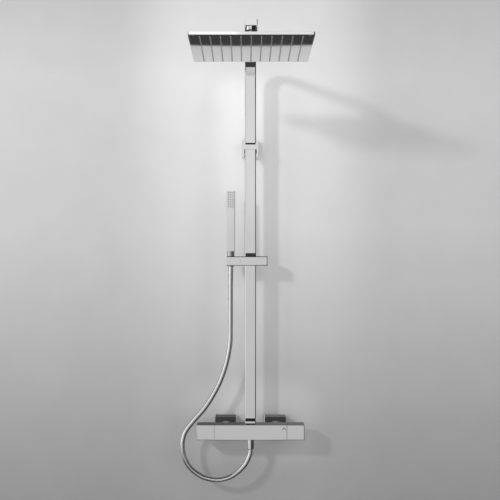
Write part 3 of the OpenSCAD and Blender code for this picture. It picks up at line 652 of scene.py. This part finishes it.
@dataclass(frozen=True)
class Ring:
    """One ring of a turned piece.

    Attributes:
        shift: How far its centre lies off the axis, along X.
        cut: Depth of the thread that is cut into it.
        sides: 0 for a circle, or the number of flats.
    """

    along: float
    radius: float
    shift: float = 0.0
    cut: float = 0.0
    sides: int = 0

    def reach(self, turn: float, pitch: float) -> float:
        """Gives the distance from the ring's centre to its edge.

        Args:
            turn: Place round the ring, from 0 to 1.
            pitch: Distance from crest to crest of the thread.

        Returns:
            The distance in metres.
        """
        if self.sides:
            part = math.pi / self.sides
            return self.radius * math.cos(part) / math.cos((2 * math.pi * turn) % (2 * part) - part)
        wave = abs((self.along / pitch - turn) % 1.0 - 0.5) * 2
        return self.radius - self.cut * min(1.0, max(0.0, (wave - THREAD_CREST) / THREAD_FLANK))


@dataclass(frozen=True)
class Thread:
    """A helical thread on a turned piece.

    Attributes:
        major, depth: Radius of its crests, and the depth from crest to root.
        pitch, rows: Distance from crest to crest, and the rings for each pitch.
        run_in: How far its crests sink where it runs in, as a share of the depth.
        blunt: Radius of the end of its point, as a share of the crests'.
    """

    major: float
    depth: float
    pitch: float
    rows: int = 8
    run_in: float = 0.6
    blunt: float = 0.12

    def rings(self, start: float, end: float, shift: float = 0.0, tip: float = 0.0) -> list[Ring]:
        """Gives the rings of a threaded stretch, which runs in at both ends.

        Args:
            start: Where the thread starts along the axis.
            end: Where it ends.
            shift: How far its axis lies off the piece's own, along X.
            tip: Length of the point at its end.

        Returns:
            The rings from start to end.
        """
        count = max(4, round(abs(end - start) / self.pitch * self.rows))
        made = []
        for i in range(count + 1):
            along = start + (end - start) * i / count
            to_end = abs(end - along)
            fade = min(1.0, abs(along - start) / self.pitch, to_end / self.pitch)
            major = self.major - self.depth * self.run_in * (1 - fade)
            if tip and to_end < tip:
                major = max(self.blunt * self.major, self.major * to_end / tip)
            made.append(Ring(along, major, shift, self.depth * fade * major / self.major))
        return made


def bridge(mesh: Mesh, rows: Sequence[Sequence[bmesh.types.BMVert]], closed: bool) -> None:
    """Joins each row of corners to the next with faces.

    Args:
        mesh: The mesh of the rows.
        rows: Closed rows of equal length.
        closed: Whether the last row meets the first.
    """
    following = rows[1:] + rows[:1] if closed else rows[1:]
    for low, high in zip(rows, following):
        for k in range(len(low)):
            n = (k + 1) % len(low)
            mesh.faces.new((low[k], low[n], high[n], high[k]))


def turn(mesh: Mesh, rings: Sequence[Ring], centre: Point, pitch: float, around: int,
         closed: bool = False) -> None:
    """Adds a turned piece whose axis runs along Y.

    Args:
        mesh: The mesh that it is added to.
        rings: Its rings, in the order of the profile; along grows towards the wall.
        centre: The point of its axis where along is 0.
        pitch: Distance from crest to crest of its thread.
        around: Faces round it.
        closed: Whether the last ring meets the first, as round a bore.
    """
    rows = []
    for ring in rings:
        row = []
        for k in range(around):
            angle, reach = 2 * math.pi * k / around, ring.reach(k / around, pitch)
            row.append(mesh.verts.new((centre[0] + ring.shift + reach * math.cos(angle),
                                       centre[1] + ring.along, centre[2] + reach * math.sin(angle))))
        rows.append(row)
    bridge(mesh, rows, closed)
    if not closed:
        mesh.faces.new(rows[0])
        mesh.faces.new(rows[-1])


@dataclass
class WallFixings:
    """The threaded unions and screws that go into the wall, which show from behind.

    Attributes:
        union_x, inlet_x: Distances from the middle to each union's axis and to each outlet in the wall.
        stub, stub_start: Thread of the stub in the wall, and where it starts.
        rim, flange: How far the flange stands out from the nose, and the depths of its ends.
        around: Faces round a union and round a screw.
        screw, screw_ends: Thread of the wall screws, and where it starts and ends.
        screw_base: Depth of the underside of their heads.
        neck: How much thinner their plain necks are, and how long.
        head, dome: Radius of their heads in radii of the screw, and angles of the dome's rings.
        drive: Radii of the drive at its top and bottom, in radii of the screw.
        crease: Edges sharper than this stay sharp, in degrees.
    """

    union_x: float = 72.5 * MM
    inlet_x: float = 75 * MM
    stub: Thread = Thread(10.48 * MM, 1.1 * MM, 1.814 * MM)
    stub_len: float = 16 * MM
    stub_start: float = 0.4 * MM
    nose: Thread = Thread(13.2 * MM, 1.1 * MM, 1.814 * MM)
    rim: float = 4 * MM
    flange: Pair = (0.8 * MM, 8 * MM)
    chamfer: float = 0.6 * MM
    nose_end: float = 22 * MM
    stub_bore: float = 6.5 * MM
    nose_bore: float = 7.2 * MM
    bore_step: float = 2 * MM
    around: tuple[int, int] = (56, 24)
    screw: Thread = Thread(2.5 * MM, 0.75 * MM, 2.2 * MM)
    screw_x: float = 14 * MM
    screw_z: float = 822.1 * MM
    screw_ends: Pair = (0.5 * MM, 35 * MM)
    screw_tip: float = 6 * MM
    screw_base: float = 4 * MM
    neck: float = 0.4 * MM
    head: float = 1.8
    head_h: float = 2.5 * MM
    head_rim: float = 0.8 * MM
    dome: Sequence[float] = (0.4, 0.8, 1.1)
    drive: Pair = (0.7, 0.66)
    drive_depth: float = 1.4 * MM
    crease: float = 34.0

    def union(self, mesh: Mesh, side: int) -> None:
        """Adds one eccentric union with its bore.

        Args:
            mesh: The mesh that it is added to.
            side: -1 for the left union, 1 for the right one.
        """
        shift = side * (self.inlet_x - self.union_x)
        wide, (near, base) = self.nose.major + self.rim, self.flange
        rings = [Ring(self.stub_len, self.stub_bore, shift)]
        rings += self.stub.rings(self.stub_len, self.stub_start, shift)
        rings += [Ring(-near, wide - self.chamfer, shift / 2), Ring(-near - self.chamfer, wide, shift / 2),
                  Ring(-base + self.chamfer, wide, shift / 2), Ring(-base, wide - self.chamfer, shift / 2)]
        rings += self.nose.rings(-base, -self.nose_end)
        rings += [Ring(-self.nose_end, self.nose_bore), Ring(-base, self.nose_bore),
                  Ring(-base + self.bore_step, self.stub_bore, shift)]
        turn(mesh, rings, (side * self.union_x, 0, 0), self.stub.pitch, self.around[0], closed=True)

    def wall_screw(self, mesh: Mesh, side: int) -> None:
        """Adds one wall screw with a domed head and a six-sided drive.

        Args:
            mesh: The mesh that it is added to.
            side: -1 for the left screw, 1 for the right one.
        """
        r, base = self.screw.major, -self.screw_base
        wide, neck, rim = self.head * r, r - self.neck, base - self.head_rim
        rings = self.screw.rings(*self.screw_ends, tip=self.screw_tip)[::-1]
        rings += [Ring(self.neck, neck), Ring(base, neck), Ring(base, wide), Ring(rim, wide)]
        rings += [Ring(rim - (self.head_h - self.head_rim) * math.sin(a), wide * math.cos(a))
                  for a in self.dome]
        top = rings[-1].along
        rings += [Ring(top, self.drive[0] * r, sides=6),
                  Ring(top + self.drive_depth, self.drive[1] * r, sides=6)]
        turn(mesh, rings, (side * self.screw_x, 0, self.screw_z), self.screw.pitch, self.around[1])

    def build(self) -> None:
        """Builds the unions and the screws in place of their plain nodes."""
        for node, make, finish in (("wall_unions", self.union, BRASS),
                                   ("wall_screws", self.wall_screw, STEEL)):
            mesh = bmesh.new()
            for side in SIDES:
                make(mesh, side)
            bmesh.ops.recalc_face_normals(mesh, faces=mesh.faces)
            for edge in mesh.edges:
                edge.smooth = edge.calc_face_angle() < math.radians(self.crease)
            piece = new_object(node + "_threaded", mesh, finish)
            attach(piece, Body.ROOT.value)
            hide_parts(node)
            LOG.info("threaded %s", node)


@dataclass
class MixerTrim:
    """The dark rings in the seams of the mixer and the small index mark beside the temperature handle.

    Attributes:
        half, casing_end: Half the side of the square bar, and the casing's end from the middle.
        gap, slack: Width of the seam at each handle, and the share that stays free beside its ring.
        mark, mark_size: Place of the tip of the index mark, x and z, half its width, and its height.
        mark_depth: How far the mark stands out and goes in.
    """

    half: float = 21.5 * MM
    casing_end: float = 103.5 * MM
    gap: float = 0.8 * MM
    slack: float = 0.12
    inset: float = 1.3 * MM
    ring_wall: float = 1.9 * MM
    ring_round: float = 1.2 * MM
    corner_steps: int = 3
    mark: Pair = (95.7 * MM, 14.9 * MM)
    mark_size: Pair = (5.2 * MM, 6.2 * MM)
    stroke: float = 1.6 * MM
    mark_depth: Pair = (0.05 * MM, 0.2 * MM)

    def square(self, half: float) -> list[Pair]:
        """Gives the outline of a ring, a rounded square.

        Args:
            half: Half its side.

        Returns:
            Its points, counter-clockwise.
        """
        points = []
        inner = half - self.ring_round
        for k, (right, up) in enumerate(((1, 1), (-1, 1), (-1, -1), (1, -1))):
            turns = (math.pi / 2 * (k + i / self.corner_steps) for i in range(self.corner_steps + 1))
            points += [(inner * right + self.ring_round * math.cos(a),
                        inner * up + self.ring_round * math.sin(a)) for a in turns]
        return points

    def seam_rings(self, mesh: Mesh) -> None:
        """Adds the square ring in each seam.

        Args:
            mesh: The mesh that they are added to.
        """
        low = self.casing_end + self.slack * self.gap
        high = self.casing_end + (1 - self.slack) * self.gap
        outer = self.half - self.inset
        inner = outer - self.ring_wall
        for side in SIDES:
            rows = [[mesh.verts.new((side * x, a - AXIS_DEPTH, b)) for a, b in self.square(half)]
                    for half, x in ((outer, low), (outer, high), (inner, high), (inner, low))]
            bridge(mesh, rows, True)

    def index_mark(self, mesh: Mesh) -> None:
        """Adds the index mark, an open arrowhead that lies in the front face.

        Args:
            mesh: The mesh that it is added to.
        """
        (x, z), (half, height) = self.mark, self.mark_size
        slope = self.stroke * math.hypot(half, height) / half
        outline = [(x, z), (x + half, z - height), (x + half, z - height - slope), (x, z - slope),
                   (x - half, z - height - slope), (x - half, z - height)]
        face = -AXIS_DEPTH - self.half
        rows = [[mesh.verts.new((a, y, b)) for a, b in outline]
                for y in (face - self.mark_depth[0], face + self.mark_depth[1])]
        bridge(mesh, rows, False)
        for row in rows:
            mesh.faces.new(row[:4])
            mesh.faces.new((row[0], *row[3:]))

    def build(self) -> None:
        """Builds the trim, which stays with the casing."""
        for name, make in (("seam_rings", self.seam_rings), ("index_mark", self.index_mark)):
            mesh = bmesh.new()
            make(mesh)
            piece = new_object(name, mesh, BLACK_PLASTIC, smooth=False)
            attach(piece, Body.ROOT.value)
            LOG.info("mixer trim: %s", name)


@dataclass(frozen=True)
class Panel:
    """A patch of the studio that polished metal mirrors, by direction, in degrees.

    Attributes:
        facing, half: Azimuth of its middle, and half its width; 0 is towards the camera, 90 is to the
            right, 180 is the wall.
        low, high: Its lower and its upper edge above the horizon.
        level, top_level: Its brightness at tone_low and below, and at tone_high and above.
        soft, soft_low, soft_high: Width of its soft sides, lower edge and upper edge.
        tone_low, tone_high: Heights where the brightness starts and stops changing.
    """

    facing: float
    half: float
    low: float
    high: float
    level: float
    top_level: float
    soft: float = 4.0
    soft_low: float = 4.0
    soft_high: float = 4.0
    tone_low: float = -14.0
    tone_high: float = 9.0

    def mask(self, graph: Graph, heading: Socket, elevation: Socket) -> Socket:
        """Tells how much of the panel lies in each direction.

        Args:
            graph: The world's graph.
            heading: Unit vector of the direction along the floor.
            elevation: The direction's height above the horizon, in degrees.

        Returns:
            A socket from 0 outside the panel to 1 inside.
        """
        turn = math.radians(self.facing)
        middle = (math.sin(turn), -math.cos(turn), 0.0)
        dot = graph.add("ShaderNodeVectorMath", {0: heading, 1: middle}, operation="DOT_PRODUCT")["Value"]
        away = graph.math("MULTIPLY", graph.math("ARCCOSINE", dot), math.degrees(1))
        edges = ((away, self.half, self.soft, 0.0), (elevation, self.low, self.soft_low, 1.0),
                 (elevation, self.high, self.soft_high, 0.0))
        sides, above, below = (graph.ramp(value, edge - soft / 2, edge + soft / 2, 1 - rising, rising)
                               for value, edge, soft, rising in edges)
        return graph.math("MULTIPLY", sides, graph.math("MULTIPLY", above, below))


@dataclass(frozen=True)
class Patch:
    """A paler patch of the wall, which makes up for the light that the object keeps off it.

    Attributes:
        soft: Width of its soft rim.
        gain: How much paler it is in its middle, as a share.
    """

    middle: Pair
    half: Pair
    soft: float
    gain: float

    def gain_socket(self, graph: Graph, x: Socket, z: Socket) -> Socket:
        """Gives the factor on the wall's tone.

        Args:
            graph: The wall's graph.
            x: The place along the wall.
            z: The height.

        Returns:
            A socket, 1 outside the patch.
        """
        squares = []
        for place, middle, half in zip((x, z), self.middle, self.half):
            away = graph.math("ABSOLUTE", graph.math("SUBTRACT", place, middle))
            past = graph.math("MAXIMUM", graph.math("SUBTRACT", away, half), 0.0)
            squares.append(graph.math("MULTIPLY", past, past))
        away = graph.math("SQRT", graph.math("ADD", *squares))
        return graph.ramp(away, 0.0, self.soft, 1 + self.gain, 1.0)


@dataclass
class Studio:
    """The wall, the floor, the lamps, what the chrome mirrors, and the camera.

    Attributes:
        key_power: Watts of the key lamp.
        fill: Brightness of the soft light from all round.
        far: Colour of what the camera sees past the wall and the floor.
        eye, lens: Place of the camera, and its focal length in millimetres.
        shift: How far the picture is shifted.
        wall_lit_tones, wall_blue: Heights on the wall, its tone at each, which paints the fall of the light
            on it, and the factor on its blue.
        wall_mottle, floor_mottle: Patches per metre, octaves, least and greatest value.
        wall_sides, wall_shade, shade_heights: Distances from the middle between which the wall's sides grow
            darker with painted shade, and by which shares at the lower and at the upper height.
        mirror_base: Brightness of the mirrored room outside its panels.
        panels: Its panels; a later one lies over those before it.
    """

    wall_gap: float = 0.8 * MM
    wall_half: float = 3.0
    wall_top: float = 3.2
    floor_z: float = -1.15
    key_place: Point = (-2.62, -2.65, 2.0)
    key_aim: Point = (0.0, 0.0, 0.5)
    key_size: float = 0.36
    key_power: float = 39.0
    fill: float = 0.87
    far: Rgb = (0.72, 0.72, 0.725)
    eye: Point = (-0.0116, -2.062, 0.421)
    lens: float = 50.0
    shift: Pair = (0.007, 0.07)
    # Painted light on the backdrop: its tone at each height, darker towards the bottom and again at the very
    # top
    wall_lit_tones: Sequence[Pair] = (
        (-0.25, 0.355), (0.0, 0.43), (0.2, 0.525), (0.42, 0.65), (0.6, 0.755), (0.9, 0.845),
        (1.04, 0.855), (1.3, 0.725),
    )
    wall_mottle: Sequence[float] = (9.0, 5.0, 0.985, 1.015)
    wall_blue: float = 1.004
    wall_sides: Pair = (0.15, 0.43)
    wall_shade: Pair = (0.1, 0.26)
    shade_heights: Pair = (0.1, 0.9)
    patches: Sequence[Patch] = (
        Patch((-0.012, 0.5), (0.012, 0.47), 0.12, 0.32),
        Patch((0.0, 0.01), (0.12, 0.045), 0.12, 0.28),
    )
    floor_mottle: Sequence[float] = (5.0, 4.0, 0.6, 0.66)
    mirror_base: float = 0.045
    panels: Sequence[Panel] = (
        # The wall behind the object, darker in its upper part
        Panel(180, 40, -18.98, 60, 0.57, 0.65, soft_low=0.14, tone_low=-18.9, tone_high=-17.9),
        Panel(180, 44, 4, 55, 0.15, 0.15),
        # The dark right side and the grey left one
        Panel(50, 46, -22, 17, 0.05, 0.14, soft=14.0, tone_low=-9.0, tone_high=-4.0),
        Panel(-45, 32, -17, 30, 0.6, 0.4, soft=12.0, soft_low=7.0, soft_high=10.0, tone_low=6.0,
              tone_high=14.0),
        # The pale side opposite the wall, which the front faces mirror
        Panel(-2, 11, -18, 23, 0.53, 0.645, soft=6.0, soft_low=5.0, soft_high=2.0, tone_high=3.0),
        Panel(-2, 11, 5.5, 23, 0.765, 0.765, soft=6.0, soft_low=5.0, soft_high=2.0),
        # The bright window on the left, its sill, and the pale floor in front
        Panel(-80, 24, -32, -12, 0.5, 0.5, soft=8.0, soft_low=8.0),
        Panel(-77, 19, -12, 15, 1.35, 1.45, soft=8.0, soft_low=8.0),
        Panel(0, 4, -56, -16.5, 0.62, 0.6, soft=2.0, soft_low=5.0, tone_low=-50.0, tone_high=-20.0),
        # The upper edge of the pale side, which the connector above the head mirrors
        Panel(-36, 30, 17.0, 20.4, 0.42, 0.42, soft=6.0, soft_low=2.0, soft_high=0.5),
        Panel(-135, 46, 5, 44, 0.1, 0.1),
        Panel(50, 46, 15.0, 24.0, 0.015, 0.015, soft=4.0),
        Panel(0, 6.5, 17.0, 20.4, 0.86, 0.86, soft=3.0, soft_low=2.0, soft_high=0.5),
        Panel(-3.4, 2.7, 17.0, 20.4, 1.2, 1.2, soft=1.4, soft_low=2.0, soft_high=0.5),
        Panel(-22, 34, 20.4, 23, 0.86, 0.86, soft=10.0, soft_low=0.5, soft_high=2.0),
        # The top of the window, and the dark right end of the wall
        Panel(-74, 16, 15, 44, 1.35, 1.35),
        Panel(125, 34, -30, 40, 0.08, 0.08),
    )

    def wall_color(self, graph: Graph) -> Socket:
        """Gives the wall's tone with a faint mottle: painted light that is paler towards the top and in the
        patches, and painted shade towards its sides.

        Args:
            graph: The wall's graph.

        Returns:
            The socket of its colour.
        """
        place = graph.coords()
        parts = graph.split(place)
        x, height = parts["X"], parts["Z"]
        low, high = self.wall_lit_tones[0][0], self.wall_lit_tones[-1][0]
        along = graph.ramp(height, low, high, smooth=False)
        color = graph.add("ShaderNodeValToRGB", {0: along})[0]
        stops = color.node.color_ramp.elements
        while len(stops) < len(self.wall_lit_tones):
            stops.new(0.5)
        for stop, (z, tone) in zip(stops, self.wall_lit_tones):
            stop.position = (z - low) / (high - low)
            stop.color = (tone, tone, tone * self.wall_blue, 1.0)
        shade = graph.ramp(height, *self.shade_heights, *self.wall_shade, smooth=False)
        side = graph.math("MULTIPLY", shade, graph.ramp(graph.math("ABSOLUTE", x), *self.wall_sides))
        gain = graph.math("MULTIPLY", graph.mottle(place, *self.wall_mottle),
                          graph.math("SUBTRACT", 1.0, side))
        for patch in self.patches:
            gain = graph.math("MULTIPLY", gain, patch.gain_socket(graph, x, height))
        return graph.add("ShaderNodeVectorMath", {0: color, "Scale": gain}, operation="SCALE")[0]

    def floor_color(self, graph: Graph) -> Socket:
        """Returns the floor's pale tone with a faint mottle."""
        tone = graph.mottle(graph.coords(), *self.floor_mottle)
        return graph.add("ShaderNodeCombineXYZ", dict.fromkeys("XYZ", tone))[0]

    def plane(self, name: str, corners: Sequence[Point], matt_color: Callable[[Graph], Socket]) -> None:
        """Builds a matt stage plane that is clear from behind and that polished metal doesn't mirror.

        Args:
            name: Name of the object.
            corners: Its four corners, counter-clockwise as seen from its front.
            matt_color: Gives the socket of its colour.
        """
        data = bpy.data.meshes.new(name)
        data.from_pydata(corners, [], [range(4)])
        material, graph = new_material("pale_" + name)
        data.materials.append(material)
        matt = graph.add("ShaderNodeBsdfDiffuse", {"Color": matt_color(graph)})[0]
        clear = graph.add("ShaderNodeBsdfTransparent")[0]
        mix = graph.mix_shaders(graph.add("ShaderNodeNewGeometry")["Backfacing"], matt, clear)
        graph.add("ShaderNodeOutputMaterial", {"Surface": mix})
        made = linked(name, data)
        made.visible_glossy = False

    def build_stage(self) -> None:
        """Builds the backdrop and the floor."""
        half, top, low, gap = self.wall_half, self.wall_top, self.floor_z, self.wall_gap
        self.plane("wall", [(-half, gap, low), (half, gap, low), (half, gap, top), (-half, gap, top)],
                   self.wall_color)
        self.plane("floor", [(-half, -2 * half, low), (half, -2 * half, low), (half, gap, low),
                             (-half, gap, low)], self.floor_color)

    def mirrored_room(self, graph: Graph) -> Socket:
        """Builds what polished metal mirrors: the panels over a dark room.

        Args:
            graph: The world's graph.

        Returns:
            The socket of its brightness.
        """
        parts = graph.split(graph.coords("Generated"))
        flat = graph.add("ShaderNodeCombineXYZ", {axis: parts[axis] for axis in "XY"})[0]
        heading = graph.add("ShaderNodeVectorMath", {0: flat}, operation="NORMALIZE")[0]
        elevation = graph.math("MULTIPLY", graph.math("ARCSINE", parts["Z"]), math.degrees(1))
        value = self.mirror_base
        for panel in self.panels:
            mask = panel.mask(graph, heading, elevation)
            tone = graph.ramp(elevation, panel.tone_low, panel.tone_high,
                              panel.level, panel.top_level, smooth=False)
            value = graph.math("MULTIPLY_ADD", mask, graph.math("SUBTRACT", tone, value), value)
        return value

    def build_world(self) -> None:
        """Builds the soft light from all round, the mirrored room and the pale far background."""
        world = bpy.data.worlds.new("studio")
        bpy.context.scene.world = world
        world.use_nodes = True
        graph = Graph(world.node_tree)
        rays = graph.add("ShaderNodeLightPath")
        lit = graph.mix_shaders(rays["Is Glossy Ray"], graph.background(self.fill),
                                graph.background(self.mirrored_room(graph)))
        seen = graph.mix_shaders(rays["Is Camera Ray"], lit, graph.background(1.0, self.far))
        graph.add("ShaderNodeOutputWorld", {"Surface": seen})

    def build_key(self) -> None:
        """Builds the key lamp, high on the left."""
        data = bpy.data.lights.new("key", "AREA")
        data.shape = "DISK"
        data.size = self.key_size
        data.energy = self.key_power
        lamp = linked("key", data)
        lamp.location = self.key_place
        aim = Vector(self.key_aim) - Vector(self.key_place)
        lamp.rotation_mode = "QUATERNION"
        lamp.rotation_quaternion = aim.to_track_quat("-Z", "Y")
        lamp.visible_glossy = False

    def build_camera(self) -> None:
        """Builds the camera, level and looking straight at the wall."""
        data = bpy.data.cameras.new("camera")
        data.lens = self.lens
        data.shift_x, data.shift_y = self.shift
        camera = linked("camera", data)
        camera.location = self.eye
        camera.rotation_euler = (math.radians(90), 0, 0)
        bpy.context.scene.camera = camera

    def build(self) -> None:
        """Builds the whole studio."""
        bpy.context.scene.view_settings.view_transform = "Standard"
        self.build_camera()
        self.build_world()
        self.build_key()
        self.build_stage()
        LOG.info("studio built")


def clear_scene() -> None:
    """Removes what Blender starts with."""
    for thing in list(bpy.data.objects):
        bpy.data.objects.remove(thing)


def main() -> None:
    """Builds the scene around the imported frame."""
    logging.basicConfig(level=logging.INFO, format="%(name)s: %(message)s")
    clear_scene()
    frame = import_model()
    Studio().build()
    Hose().build()
    ButtonSpring().build(frame)
    WallFixings().build()
    MixerTrim().build()
    CadDresser(frame).dress()
    bpy.context.view_layer.update()


if __name__ == "__main__":
    main()
